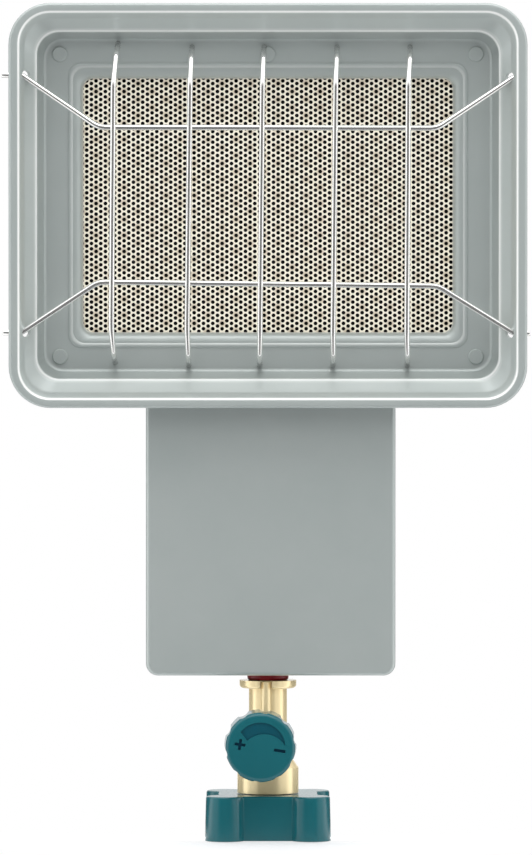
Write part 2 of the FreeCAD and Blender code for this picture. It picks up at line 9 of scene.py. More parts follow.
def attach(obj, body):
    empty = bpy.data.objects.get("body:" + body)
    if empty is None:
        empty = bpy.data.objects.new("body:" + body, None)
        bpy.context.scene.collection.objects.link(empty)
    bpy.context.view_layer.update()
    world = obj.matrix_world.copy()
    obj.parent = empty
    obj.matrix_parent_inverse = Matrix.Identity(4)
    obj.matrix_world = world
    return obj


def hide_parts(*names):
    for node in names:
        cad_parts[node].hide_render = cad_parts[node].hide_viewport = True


MM = 0.001
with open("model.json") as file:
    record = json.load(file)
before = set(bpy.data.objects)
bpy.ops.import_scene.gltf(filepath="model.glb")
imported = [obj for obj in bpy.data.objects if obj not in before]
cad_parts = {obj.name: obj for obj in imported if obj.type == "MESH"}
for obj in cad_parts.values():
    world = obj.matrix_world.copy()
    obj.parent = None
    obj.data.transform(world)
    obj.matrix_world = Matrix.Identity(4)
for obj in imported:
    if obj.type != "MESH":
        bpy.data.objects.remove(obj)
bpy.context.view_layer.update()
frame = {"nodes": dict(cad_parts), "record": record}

# Sizes that the looks share with the solids, in millimetres. An inset is measured inwards from
# the pan's side, and y grows towards the back.
PAN_W, PAN_H, PAN_ZC = 185.3, 144.7, 228.2
RIM_Y, FLOOR_Y, LIP_Y = -30.0, -12.0, -7.0
SHEET, SKIRT, RIM_EDGE, RIM_IN = 0.6, 2.4, 1.2, 3.45
RIM_BEVEL, RIM_TURN = 0.35, 0.4
BEAD_IN, BEAD_HALF, BEAD_RISE, BEAD_FOOT = 21.75, 0.85, 0.5, 20.5
# Front of the pan as (inset, y, corner radius).
PAN_LINE = (
    (RIM_IN, RIM_Y, 0), (5.6, RIM_Y + 3.3, 5.0), (9.3, RIM_Y + 6.9, 0.5),
    (10.1, RIM_Y + 7.2, 0.6), (12.2, FLOOR_Y, 1.6), (25.95, FLOOR_Y, 3.4), (26.25, LIP_Y, 0))
PAN_LINE_STEP = 7.0
CORNER_RADII = (
    (-1, 16.0), (0, 15.0), (3.45, 11.3), (9.7, 8.2), (13.4, 6.4), (21.3, 4.6), (26.3, 3.7))
# The pan's level sides stand in a little more or less than its upright ones.
EXTRA_INSETS = (
    (-1, 0), (0, 0), (3.45, -0.35), (9.7, 0.25), (13.4, 0.5), (21.3, 0.3), (26.3, 0.5))
# Wire holes as (side, height from the pan's centre).
WIRE_HOLES = ((-1, 46.6), (1, 45.9), (-1, -45.4), (1, -45.7))
HOLE_Y, WIRE_HOLE_R = -26.3, 1.6

WIRE_R, WIRE_SIDES, WIRE_DOME, BEND_STEP = 1.0, 18, 0.35, 9.0
BAR_Y, BAR_STEP, BAR_KINK = -33.0, 5.5, 0.3
BAR_FROM_LOW, BAR_FROM_TOP = 27.55, 28.95
BAR_BENDS, CROSS_BENDS = (3.0, 8.0, 8.0, 3.0), (2.5, 8, 8, 2.5)
CROSS_Y, CROSS_X, CROSS_HOLE_IN = BAR_Y + 2.0, 60.5, 4.6
# Level wires: name, heights at the left and right bend, and how far the tips pass the pan.
CROSS_WIRES = (
    ("guard_upper_wire", (27.9, 27.6), (2.6, -0.3)),
    ("guard_lower_wire", (-27.3, -28.7), (2.2, 1.2)))
# Upright bars: x, lean, x offset of the top and low end, and how far they end inside the pan's
# top and low side. The lean is in the photo's pixels over LEAN_SPAN millimetres.
BARS = (
    (-55.5, 1.6, 1.7, 0.6, 14.05, 15.95),
    (-28.3, 2.5, 1.1, -0.1, 15.35, 14.75),
    (-2.4, 2.0, 1.0, -0.6, 15.35, 14.75),
    (23.7, 2.1, 1.1, -0.3, 15.35, 14.75),
    (49.8, 1.1, 1.3, 0.2, 15.35, 14.75))
PIXEL_MM, LEAN_SPAN, LEAN_DOWN, LEAN_UP = 0.36, 72, 45, 43

# The plaque's lattice of holes, with a dimple on every third column and hole.
COLUMN_STEP, HOLE_PITCH = 1.6794, 1.9168
HOLE_X0, HOLE_Z0 = 0.310, 227.963
HOLE_R, HOLE_DEPTH, HOLE_LIGHT_DEPTH = 0.69, 1.9, 0.1
HOLE_COLUMNS, HOLE_ROWS = 41, 26
HOLES_HALF_W, HOLES_HALF_H = 66.9, 46.5
DIMPLE_R, DIMPLE_D, DIMPLE_FIRST = 2.1, 0.42, 2
PLAQUE_W, PLAQUE_H, PLAQUE_BACK_Y, PLAQUE_R = 138, 97, 6, 3

KNOB_X, KNOB_Z, KNOB_R, KNOB_TAPER = -2.7, 34.3, 12.95, 0.5
KNOB_IN, KNOB_OUT = 14.4, 28.7
KNOB_EDGE, KNOB_BACK_EDGE, KNOB_WALL = 1.6, 0.25, 2.4
SCALLOPS, SCALLOP_R, SCALLOP_D, SCALLOP_TURN = 10, 3.6, 0.8, 10.8
# Marks on the knob's face, from its axis.
MARK_TURN, MARK_DEPTH, ARC_DEPTH, MARK_START = -8.6, 0.6, 0.55, 1
PLUS = (-7.3, 1.1, 1.95, 0.5)
MINUS = (6.9, -1.15, 4.1, 1.05)
ARC_R, ARC_FROM, ARC_TO = 8.95, (-7.1, 5.6), (8.95, 0.8)
ARC_INNER, ARC_TIP, ARC_BLUNT = (1.35, -3.9), (8.75, 0.75), (-4.7, 2.4)

WHEEL_H, WHEEL_DRAFT, WHEEL_FLAT, WHEEL_EDGE = 16.0, 0.35, 18.0, 0.7
LOBE_R, LOBE_AT, CREASE_R = 7.0, 15.3, 0.7
LOBE_HOLE_R, LOBE_HOLE_TOP = 4.6, 10
WHEEL_FOOT, WHEEL_SLACK = 0.1, 0.005
WHEEL_TOP_IN, WHEEL_DISH_R, WHEEL_BORE_R = 1.6, 12.4, 6.6
WHEEL_HOLLOW_R, WHEEL_HOLLOW_TOP = 13.0, 13.0

# Camera in metres: level with the pan's centre, far away, aimed a little down.
VIEW_DISTANCE = 3.0
AIM_DROP = 0.0799
AIM_X = -0.0007
FRAME_HEIGHT = 0.3078
SENSOR = 24

# Painted highlights on the pan's creases: how much white goes into the paint, by inset.
RIDGE_SPAN = 30.0
CREASE_HIGHLIGHTS = (
    (0, 0), (3.0, 0), (3.4, 0.65), (3.7, 0.65), (4.1, 0), (8.7, 0), (9.3, 0.15), (9.7, 0.5),
    (10.2, 0), (21.6, 0), (22.0, 0.15), (22.4, 0.15), (22.8, 0), (25.9, 0), (26.2, 0.4),
    (RIDGE_SPAN, 0))
HIGHLIGHT_WHITE = (255, 255, 253)
HIGHLIGHT_GLOW = 0.14

# Room light by angle from the camera's side, in degrees, as a share of full white.
ROOM = (
    (0, 0.12), (34, 0.12), (46, 0.85), (70, 1.05), (84, 2.0), (98, 2.0), (109, 0.15),
    (150, 0.15), (162, 1.0), (180, 1.0))
ROOM_ABOVE = 1.7
ROOM_PEAK = 2.0
# The light from above fades in between these heights of a direction.
ABOVE_FROM, ABOVE_TO = 0.25, 0.85

# Floor, in metres: where it goes over into plain white, sideways and towards the back, and how
# far from the wheel its reflection is white.
FLOOR_HALF, FLOOR_DROP, FLOOR_GLOW = 3.0, 0.0002, 0.02
FADE_NEAR, FADE_FAR = 0.035, 0.11
FADE_FRONT, FADE_BACK = -0.03, -0.012
WHITE_NEAR, WHITE_FAR = 0.06, 0.1
WHITE = (1, 1, 1, 1)


def rgb(r, g, b):
    # Display colour, 0 to 255, as linear light.
    out = []
    for v in (r, g, b):
        c = v / 255
        out.append(c / 12.92 if c <= 0.04045 else ((c + 0.055) / 1.055) ** 2.4)
    return (*out, 1.0)


class Nodes:
    # Short ways to build a node tree.
    def __init__(self, tree):
        self.tree = tree

    def add(self, kind, **settings):
        node = self.tree.nodes.new(kind)
        for key, value in settings.items():
            setattr(node, key, value)
        return node

    def link(self, a, b):
        self.tree.links.new(a, b)

    def put(self, value, socket):
        if isinstance(value, (tuple, float)):
            socket.default_value = value
        else:
            self.link(value, socket)

    def calc(self, operation, *values):
        node = self.add("ShaderNodeMath", operation=operation)
        for value, socket in zip(values, node.inputs):
            self.put(value, socket)
        return node.outputs[0]

    def ranged(self, value, low, high, from_low=0.3, from_high=0.7, curve="LINEAR"):
        node = self.add("ShaderNodeMapRange", interpolation_type=curve)
        node.inputs["From Min"].default_value = from_low
        node.inputs["From Max"].default_value = from_high
        node.inputs["To Min"].default_value = low
        node.inputs["To Max"].default_value = high
        self.link(value, node.inputs["Value"])
        return node.outputs["Result"]

    def mixed(self, factor, a, b):
        node = self.add("ShaderNodeMix", data_type="RGBA")
        colours = [s for s in node.inputs if s.type == "RGBA"]
        self.put(a, colours[0])
        self.put(b, colours[1])
        self.link(factor, node.inputs["Factor"])
        return [s for s in node.outputs if s.type == "RGBA"][0]

    def ramp(self, factor, stops):
        # Grey levels by place. The first stop is at 0 and the last at 1.
        node = self.add("ShaderNodeValToRGB")
        elements = node.color_ramp.elements
        elements[0].color = (stops[0][1],) * 3 + (1,)
        elements[1].color = (stops[-1][1],) * 3 + (1,)
        for place, level in stops[1:-1]:
            elements.new(place).color = (level,) * 3 + (1,)
        self.link(factor, node.inputs["Fac"])
        return node.outputs["Color"]

    def blend(self, factor, first, second):
        node = self.add("ShaderNodeMixShader")
        self.link(factor, node.inputs["Fac"])
        self.link(first.outputs[0], node.inputs[1])
        self.link(second.outputs[0], node.inputs[2])
        return node.outputs[0]


class Surface(Nodes):
    # A material whose noise lies in the object's own coordinates.
    def __init__(self, name):
        self.material = bpy.data.materials.new(name)
        self.material.use_nodes = True
        super().__init__(self.material.node_tree)
        self.bsdf = self.tree.nodes["Principled BSDF"]
        self.coords = self.add("ShaderNodeTexCoord").outputs["Object"]

    def stretched(self, scale):
        node = self.add("ShaderNodeMapping")
        node.inputs["Scale"].default_value = scale
        self.link(self.coords, node.inputs["Vector"])
        return node.outputs["Vector"]

    def noise(self, scale, detail=4.0, vector=None):
        node = self.add("ShaderNodeTexNoise")
        node.inputs["Scale"].default_value = scale
        node.inputs["Detail"].default_value = detail
        node.inputs["Roughness"].default_value = 0.55
        self.link(vector or self.coords, node.inputs["Vector"])
        return node.outputs["Fac"]

    def bump(self, height, distance, strength):
        node = self.add("ShaderNodeBump")
        node.inputs["Distance"].default_value = distance
        node.inputs["Strength"].default_value = strength
        self.link(height, node.inputs["Height"])
        self.link(node.outputs["Normal"], self.bsdf.inputs["Normal"])

    def colour(self, source):
        self.link(source, self.bsdf.inputs["Base Color"])

    def roughness(self, source, low, high):
        self.link(self.ranged(source, low, high), self.bsdf.inputs["Roughness"])

    def set(self, **values):
        for key, value in values.items():
            self.bsdf.inputs[key.replace("_", " ")].default_value = value


def painted_silver():
    m = Surface("silver_paint")
    fine = m.noise(900, 3)
    cloud = m.noise(35, 5)
    paint = m.mixed(m.ranged(cloud, 0, 1), rgb(165, 173, 171), rgb(170, 177, 175))
    # Painted highlights: the pressed creases are turned white and made to glow a little, by inset.
    inset = m.add("ShaderNodeAttribute", attribute_name="inset").outputs["Fac"]
    crease_highlight = m.ramp(m.ranged(inset, 0, 1, 0, RIDGE_SPAN), [(at / RIDGE_SPAN, v) for at, v in CREASE_HIGHLIGHTS])
    m.colour(m.mixed(crease_highlight, paint, rgb(*HIGHLIGHT_WHITE)))
    m.link(m.ranged(crease_highlight, 0.0, HIGHLIGHT_GLOW, 0, 1), m.bsdf.inputs["Emission Strength"])
    m.roughness(fine, 0.28, 0.32)
    m.set(Emission_Color=rgb(*HIGHLIGHT_WHITE), Metallic=0.25, Coat_Weight=0.4, Coat_Roughness=0.08)
    m.bump(m.noise(240, 2), 0.00001, 0.25)
    return m.material


def bright_wire():
    m = Surface("bright_wire")
    drawn = m.noise(700, 3)
    m.colour(m.mixed(m.ranged(drawn, 0, 1), rgb(250, 250, 249), rgb(244, 243, 240)))
    m.roughness(drawn, 0.06, 0.10)
    m.set(Metallic=0.9)
    m.bump(drawn, 0.00001, 0.3)
    return m.material


def zinc_steel():
    m = Surface("zinc_steel")
    grain = m.noise(260, 6, m.stretched((1, 1, 0.08)))
    patch = m.noise(28, 4)
    m.colour(m.mixed(m.ranged(patch, 0, 1), rgb(186, 189, 190), rgb(170, 174, 177)))
    m.roughness(grain, 0.30, 0.44)
    m.set(Metallic=0.9)
    m.bump(grain, 0.00002, 0.4)
    return m.material


def brass():
    m = Surface("brass")
    turned = m.noise(500, 4, m.stretched((0.05, 0.05, 1)))
    patch = m.noise(60, 4)
    m.colour(m.mixed(m.ranged(patch, 0, 1), rgb(252, 232, 184), rgb(246, 225, 176)))
    m.roughness(turned, 0.13, 0.18)
    m.set(Metallic=0.32)
    m.bump(turned, 0.00001, 0.2)
    return m.material


def plastic(name, a, b, rough, shine=0.35):
    m = Surface(name)
    fine = m.noise(1400, 3)
    cloud = m.noise(45, 4)
    m.colour(m.mixed(m.ranged(cloud, 0, 1), a, b))
    m.roughness(fine, rough - 0.03, rough + 0.05)
    m.set(Specular_IOR_Level=shine)
    m.bump(fine, 0.00001, 0.4)
    return m.material


def ceramic():
    m = Surface("perforated_ceramic")
    fine = m.noise(1600, 4)
    blotch = m.noise(90, 4)
    body = m.mixed(m.ranged(blotch, 0, 1), rgb(240, 235, 219), rgb(234, 228, 210))
    # Painted shade: the ceramic darkens to brown towards each dimple's middle.
    dimple = m.add("ShaderNodeAttribute", attribute_name="dimple").outputs["Fac"]
    m.colour(m.mixed(m.ranged(dimple, 0, 0.75, 0.1, 1.0), body, rgb(150, 122, 84)))
    m.roughness(fine, 0.8, 0.95)
    m.bump(fine, 0.00004, 0.5)
    return m.material


def hole_painted_shade():
    # Painted shade: near-black stands for the shade deep inside the holes, which are cut short
    # here.
    m = Surface("hole_painted_shade")
    fine = m.noise(900, 2)
    m.colour(m.mixed(m.ranged(fine, 0, 1), rgb(16, 12, 9), rgb(10, 8, 6)))
    m.set(Roughness=0.95)
    return m.material


def fibre():
    m = Surface("fibre_gasket")
    fine = m.noise(800, 8)
    m.colour(m.mixed(m.ranged(fine, 0, 1), rgb(236, 232, 222), rgb(214, 208, 194)))
    m.roughness(fine, 0.9, 1.0)
    m.bump(fine, 0.0002, 0.7)
    return m.material


MATERIALS = {
    "silver_paint": painted_silver(),
    "bright_wire": bright_wire(),
    "zinc_steel": zinc_steel(),
    "brass": brass(),
    "teal_plastic": plastic("teal_plastic", rgb(14, 87, 95), rgb(18, 92, 100), 0.18, 0.5),
    # Darker teals for the knob's recessed marks: painted shade in the recesses.
    "teal_recess_painted_shade": plastic("teal_recess_painted_shade", rgb(2, 44, 62), rgb(3, 48, 66), 0.3, 0.15),
    "teal_arc_painted_shade": plastic("teal_arc_painted_shade", rgb(3, 70, 84), rgb(5, 74, 88), 0.3, 0.25),
    "red_seal": plastic("red_seal", rgb(140, 16, 28), rgb(124, 12, 22), 0.3),
    "black_rubber": plastic("black_rubber", rgb(32, 32, 33), rgb(26, 26, 27), 0.6),
    "perforated_ceramic": ceramic(),
    "hole_painted_shade": hole_painted_shade(),
    "fibre_gasket": fibre(),
}


def dress_cad_nodes():
    for part in frame["record"]["subparts"]:
        node = frame["nodes"][part["node"]]
        node.data.materials.clear()
        node.data.materials.append(MATERIALS[part["material_slot"]])


def along(value, table):
    # Straight lines between the table's (place, value) rows.
    for (a, fa), (b, fb) in zip(table, table[1:]):
        if value <= b:
            return fa + (fb - fa) * (value - a) / (b - a)
    return table[-1][1]


def smooth_line(points, step):
    # Rounds the corners of (inset, y, radius) points. Returns samples with normals.
    out = []
    last = len(points) - 1
    for i, (px, py, rad) in enumerate(points):
        p = Vector((px, py))
        if i in (0, last):
            j = min(i, last - 1)
            t = (Vector(points[j + 1][:2]) - Vector(points[j][:2])).normalized()
            out.append((p, Vector((-t.y, t.x))))
            continue
        a = (Vector(points[i - 1][:2]) - p).normalized()
        b = (Vector(points[i + 1][:2]) - p).normalized()
        half = a.angle(b) / 2
        centre = p + (a + b).normalized() * (rad / math.sin(half))
        side = 1 if -a.x * b.y + a.y * b.x > 0 else -1
        sweep = math.pi - 2 * half
        n = max(2, math.ceil(math.degrees(sweep) / step))
        first = Vector((a.y, -a.x))
        for j in range(n + 1):
            normal = first.copy()
            normal.rotate(Matrix.Rotation(side * sweep * j / n, 2))
            out.append((centre - normal * side * rad, normal))
    return out


def rect_ring(w, h, r, y, steps=12):
    # A rounded rectangle about the pan's centre.
    points = []
    for sx, sz, start in ((1, -1, -90), (1, 1, 0), (-1, 1, 90), (-1, -1, 180)):
        for i in range(steps + 1):
            a = math.radians(start + 90 * i / steps)
            x = sx * (w / 2 - r) + r * math.cos(a)
            points.append((x, y, PAN_ZC + sz * (h / 2 - r) + r * math.sin(a)))
    return points


def pan_ring(inset, y):
    extra = along(inset, EXTRA_INSETS)
    radius = along(inset, CORNER_RADII)
    return rect_ring(PAN_W - 2 * inset, PAN_H - 2 * inset - 2 * extra, radius, y)


def new_object(name, data):
    made = bpy.data.objects.new(name, data)
    bpy.context.scene.collection.objects.link(made)
    return made


def outward_mesh(name, verts, faces):
    # A mesh from points in millimetres, with its faces turned outwards.
    mesh = bpy.data.meshes.new(name)
    mesh.from_pydata([Vector(v) * MM for v in verts], [], faces)
    bm = bmesh.new()
    bm.from_mesh(mesh)
    bmesh.ops.recalc_face_normals(bm, faces=bm.faces)
    bm.to_mesh(mesh)
    bm.free()
    return mesh


def shade(mesh, sharp):
    # Smooth, apart from edges that turn by more than sharp degrees.
    mesh.shade_smooth()
    mesh.set_sharp_from_angle(angle=math.radians(sharp))


def mesh_piece(name, verts, faces, material, body, replaced, sharp):
    mesh = outward_mesh(name, verts, faces)
    piece = new_object(name, mesh)
    mesh.materials.append(MATERIALS[material])
    shade(mesh, sharp)
    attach(piece, body)
    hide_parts(replaced)
    return piece


def joined(rings):
    return [point for ring in rings for point in ring]


def skin(rings, closed):
    # Faces between rings with the same number of points.
    n = len(rings[0])
    faces = []
    count = len(rings) if closed else len(rings) - 1
    for i in range(count):
        a = i * n
        b = (i + 1) % len(rings) * n
        for j in range(n):
            k = (j + 1) % n
            faces.append((a + j, a + k, b + k, b + j))
    return faces


def capped_skin(rings):
    # The faces between the rings, with one more over the first and the last.
    n = len(rings[0])
    last = (len(rings) - 1) * n
    return skin(rings, False) + [tuple(range(n)), tuple(range(last, last + n))]


def cut(piece, cutters, sharp):
    # Exact booleans. Each cut face keeps its cutter's material.
    for cutter in cutters:
        mod = piece.modifiers.new("cut", "BOOLEAN")
        mod.operation = "DIFFERENCE"
        mod.solver = "EXACT"
        mod.material_mode = "TRANSFER"
        mod.object = cutter
    dg = bpy.context.evaluated_depsgraph_get()
    mesh = bpy.data.meshes.new_from_object(piece.evaluated_get(dg))
    piece.modifiers.clear()
    piece.data = mesh
    shade(mesh, sharp)
    for cutter in cutters:
        bpy.data.objects.remove(cutter)


def tool_cylinder(radius, start, end, segments=32):
    start, end = Vector(start) * MM, Vector(end) * MM
    mesh = bpy.data.meshes.new("tool")
    bm = bmesh.new()
    turn = (end - start).to_track_quat("Z", "Y").to_matrix().to_4x4()
    move = Matrix.Translation((start + end) / 2)
    bmesh.ops.create_cone(
        bm, cap_ends=True, segments=segments, radius1=radius * MM, radius2=radius * MM,
        depth=(end - start).length, matrix=move @ turn)
    bm.to_mesh(mesh)
    bm.free()
    return new_object("tool", mesh)


def quarter_steps(count):
    # Sine and cosine from 0 to 90 degrees.
    angles = [math.radians(90 * i / count) for i in range(count + 1)]
    return [(math.sin(a), math.cos(a)) for a in angles]


def pan_front(line):
    # The pan's front surface from the skirt to the lip, as (inset, y).
    edge = [(RIM_EDGE * (1 - s), RIM_Y + RIM_EDGE * (1 - c)) for s, c in quarter_steps(6)]
    front = [(0, RIM_Y + SKIRT)] + edge[::-1]
    # A small bevel from the flat rim to the slope.
    front += [(RIM_IN - RIM_BEVEL, RIM_Y), (RIM_IN - RIM_BEVEL * 0.25, RIM_Y + RIM_BEVEL * 0.2)]
    dx, dy = line[1][0].x - RIM_IN, line[1][0].y - RIM_Y
    size = math.hypot(dx, dy)
    front.append((RIM_IN + RIM_BEVEL * dx / size, RIM_Y + RIM_BEVEL * dy / size))
    on_floor = [i for i, (p, n) in enumerate(line) if abs(p.y - FLOOR_Y) < 1e-6]
    for i, (p, n) in enumerate(line[1:], 1):
        front.append((p.x, p.y))
        if i == on_floor[0]:
            # The raised bead on the floor.
            front.append((BEAD_FOOT, FLOOR_Y))
            for j in range(9):
                a = math.pi * j / 8
                rise = BEAD_RISE * math.sin(a) ** 0.8
                front.append((BEAD_IN - BEAD_HALF * math.cos(a), FLOOR_Y - rise))
    return front


def pan_under(line):
    # The pan's back surface from the lip to the skirt.
    back = [(p.x + n.x * SHEET, p.y + n.y * SHEET) for p, n in line]
    back[0] = (back[0][0] - RIM_TURN, RIM_Y + SHEET)
    back[-1] = (line[-1][0].x - SHEET, LIP_Y)
    r = RIM_EDGE - SHEET
    edge = [(SHEET + r * (1 - s), RIM_Y + RIM_EDGE - r * c) for s, c in quarter_steps(4)]
    return back[::-1] + edge + [(SHEET, RIM_Y + SKIRT)]


def reflector():
    line = smooth_line(PAN_LINE, PAN_LINE_STEP)
    front = pan_front(line)
    loop = front + pan_under(line)
    rings = [pan_ring(d, y) for d, y in loop]
    pan = mesh_piece(
        "pan_skin", joined(rings), skin(rings, True), "silver_paint", "heater", "reflector_pan", 30)
    # Each front point keeps its inset, which places the painted highlights on the creases.
    layer = pan.data.attributes.new("inset", "FLOAT", "POINT")
    insets = [d if i < len(front) else 0.0 for i, (d, y) in enumerate(loop)]
    layer.data.foreach_set("value", [d for d in insets for _ in rings[0]])
    tools = []
    for side, z in WIRE_HOLES:
        start, end = ((side * x, HOLE_Y, PAN_ZC + z) for x in (80, 96))
        tools.append(tool_cylinder(WIRE_HOLE_R, start, end))
    cut(pan, tools, 30)
    # The cut leaves new points round the holes, which need their inset too.
    values = pan.data.attributes["inset"].data
    slope = [(d, y) for d, y in front if 2.5 < d < 10.0]
    for point, value in zip(pan.data.vertices, values):
        x, y, z = point.co / MM
        near = any(abs(z - PAN_ZC - hole) < 4 for _, hole in WIRE_HOLES)
        d = PAN_W / 2 - abs(x)
        if near and 2.6 < d < 9.0:
            value.value = d if abs(along(d, slope) - y) < 0.2 else 0.0


def bent_path(points, radii):
    # A path through the points, each inner one rounded by its radius.
    points = [Vector(p) for p in points]
    out = [points[0]]
    for i, p in enumerate(points[1:-1], 1):
        a = (points[i - 1] - p).normalized()
        b = (points[i + 1] - p).normalized()
        half = a.angle(b) / 2
        rad = radii[i - 1]
        centre = p + (a + b).normalized() * (rad / math.sin(half))
        start = p + a * (rad / math.tan(half)) - centre
        axis = start.cross(p - centre).normalized()
        sweep = math.pi - 2 * half
        n = max(2, math.ceil(math.degrees(sweep) / BEND_STEP))
        for j in range(n + 1):
            out.append(centre + Matrix.Rotation(sweep * j / n, 3, axis) @ start)
    return out + [points[-1]]


def wire_piece(name, points, radii):
    # A bent rod with slightly domed ends. It stands for the CAD node of the same name.
    path = bent_path(points, radii)
    last = len(path) - 1
    tangents = []
    for i in range(len(path)):
        tangents.append((path[min(i + 1, last)] - path[max(i - 1, 0)]).normalized())
    across = tangents[0].orthogonal().normalized()
    rings = []
    for i, (p, t) in enumerate(zip(path, tangents)):
        across = (across - t * across.dot(t)).normalized()
        other = t.cross(across)
        scales = [(1.0, 0.0)]
        if i == 0:
            scales = [(0.6, 0.0), (0.88, WIRE_DOME * 0.3), (1.0, WIRE_DOME)]
        if i == last:
            scales = [(1.0, -WIRE_DOME), (0.88, -WIRE_DOME * 0.3), (0.6, 0.0)]
        for s, push in scales:
            ring = []
            for k in range(WIRE_SIDES):
                a = 2 * math.pi * k / WIRE_SIDES
                out = across * math.cos(a) + other * math.sin(a)
                ring.append(p + t * push + out * WIRE_R * s)
            rings.append(ring)
    mesh_piece(
        name + "_drawn", joined(rings), capped_skin(rings), "bright_wire", "heater", name, 50)


def guard():
    half = PAN_W / 2
    x_hole = half - CROSS_HOLE_IN
    heights = [PAN_ZC + z for _, z in WIRE_HOLES]
    for i, (name, (z_left, z_right), (past_left, past_right)) in enumerate(CROSS_WIRES):
        hole_left, hole_right = heights[2 * i:2 * i + 2]
        wire_piece(name, (
            (-half - past_left, HOLE_Y, hole_left), (-x_hole, HOLE_Y, hole_left),
            (-CROSS_X, CROSS_Y, PAN_ZC + z_left), (CROSS_X, CROSS_Y, PAN_ZC + z_right),
            (x_hole, HOLE_Y, hole_right), (half + past_right, HOLE_Y, hole_right)), CROSS_BENDS)
    pan_top, pan_low = PAN_ZC + PAN_H / 2, PAN_ZC - PAN_H / 2
    for i, (x, lean, up, down, top_in, low_in) in enumerate(BARS):
        lean = lean * PIXEL_MM / LEAN_SPAN
        top, low = pan_top - top_in, pan_low + low_in
        h0, h1 = pan_low + BAR_FROM_LOW, pan_top - BAR_FROM_TOP
        x0, x1 = x - lean * LEAN_DOWN, x + lean * LEAN_UP
        xa, xb = x + down, x + up
        # Each end slopes out to the kink and then back to the floor.
        kink_y = BAR_Y + BAR_STEP
        kink_low = (xa + (x0 - xa) * BAR_KINK, kink_y, low + (h0 - low) * BAR_KINK)
        kink_top = (xb + (x1 - xb) * BAR_KINK, kink_y, top + (h1 - top) * BAR_KINK)
        wire_piece("guard_bar_%d" % (i + 1), (
            (xa, FLOOR_Y, low), kink_low, (x0, BAR_Y, h0), (x1, BAR_Y, h1), kink_top,
            (xb, FLOOR_Y, top)), BAR_BENDS)


def dimple_at(x, z):
    # 1 in the middle of a dimple, 0 outside.
    half = HOLE_PITCH / 2
    u, v = (x - HOLE_X0) / COLUMN_STEP, (HOLE_Z0 - z) / half
    best = 9.0
    j = round((u - DIMPLE_FIRST) / 3)
    for jj in (j - 1, j, j + 1):
        centre_u = DIMPLE_FIRST + 3 * jj
        start = DIMPLE_FIRST if jj % 2 == 0 else DIMPLE_FIRST + 3
        centre_v = start + 6 * round((v - start) / 6)
        best = min(best, math.hypot((u - centre_u) * COLUMN_STEP, (v - centre_v) * half))
    return max(0.0, 1 - best / DIMPLE_R)


def hole_cell():
    # Twelve points round a hole, whose hexagons fill the plaque without gaps.
    a = (COLUMN_STEP ** 2 - HOLE_PITCH ** 2 / 4) / (2 * COLUMN_STEP)
    b = COLUMN_STEP - a
    mid = (a + b) / 2
    half, quarter = HOLE_PITCH / 2, HOLE_PITCH / 4
    outer = [(b, 0), (mid, quarter), (a, half), (0, half), (-a, half), (-mid, quarter)]
    return outer + [(-x, -z) for x, z in outer]


def plaque():
    outer = hole_cell()
    angles = [math.atan2(z, x) for x, z in outer]
    verts, faces, hole_shade_faces, dimples, index = [], [], [], [], {}

    def vert(x, z, y, level):
        # One point for all the cells that share it. Points on the face know their dimple.
        k = (round(x, 3), round(z, 3), level)
        if k not in index:
            index[k] = len(verts)
            verts.append((x, y, z))
            dimples.append(dimple_at(x, z) if level < 2 else 0.0)
        return index[k]

    for c in range(-HOLE_COLUMNS, HOLE_COLUMNS + 1):
        for r in range(-HOLE_ROWS, HOLE_ROWS + 1):
            x = HOLE_X0 + c * COLUMN_STEP
            z = HOLE_Z0 - (r + 0.5 * (c % 2)) * HOLE_PITCH
            if abs(x) > HOLES_HALF_W or abs(z - PAN_ZC) > HOLES_HALF_H:
                continue
            top, rim, wall, low = [], [], [], []
            for (dx, dz), t in zip(outer, angles):
                px, pz = x + dx, z + dz
                top.append(vert(px, pz, LIP_Y + DIMPLE_D * dimple_at(px, pz), 0))
                hx, hz = x + HOLE_R * math.cos(t), z + HOLE_R * math.sin(t)
                y = LIP_Y + DIMPLE_D * dimple_at(hx, hz)
                rim.append(vert(hx, hz, y, 1))
                wall.append(vert(hx, hz, y + HOLE_LIGHT_DEPTH, 2))
                low.append(vert(hx, hz, LIP_Y + HOLE_DEPTH, 3))
            for i in range(len(outer)):
                j = (i + 1) % len(outer)
                faces.append((top[i], top[j], rim[j], rim[i]))
                faces.append((rim[i], rim[j], wall[j], wall[i]))
                # Below a thin pale band, the hole's wall and floor take the painted shade.
                hole_shade_faces.append(len(faces))
                faces.append((wall[i], wall[j], low[j], low[i]))
            hole_shade_faces.append(len(faces))
            faces.append(tuple(low[::-1]))
    base = len(verts)
    sides = (
        (133.2, 92.4, LIP_Y), (PLAQUE_W, PLAQUE_H, LIP_Y), (PLAQUE_W, PLAQUE_H, PLAQUE_BACK_Y))
    rings = [rect_ring(w, h, PLAQUE_R, y, 6) for w, h, y in sides]
    n = len(rings[0])
    verts += joined(rings)
    dimples += [0.0] * (n * len(rings))
    faces += [tuple(base + i for i in f) for f in skin(rings, False)]
    faces.append(tuple(base + 2 * n + i for i in range(n)))
    mesh = bpy.data.meshes.new("plaque_holes")
    mesh.from_pydata([Vector(v) * MM for v in verts], [], faces)
    mesh.materials.append(MATERIALS["perforated_ceramic"])
    mesh.materials.append(MATERIALS["hole_painted_shade"])
    marked = set(hole_shade_faces)
    mesh.polygons.foreach_set("material_index", [int(i in marked) for i in range(len(faces))])
    # The dimple weight also places the painted shade in the ceramic's colour.
    layer = mesh.attributes.new("dimple", "FLOAT", "POINT")
    layer.data.foreach_set("value", dimples)
    shade(mesh, 35)
    piece = new_object("plaque_holes", mesh)
    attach(piece, "heater")
    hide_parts("ceramic_plaque")


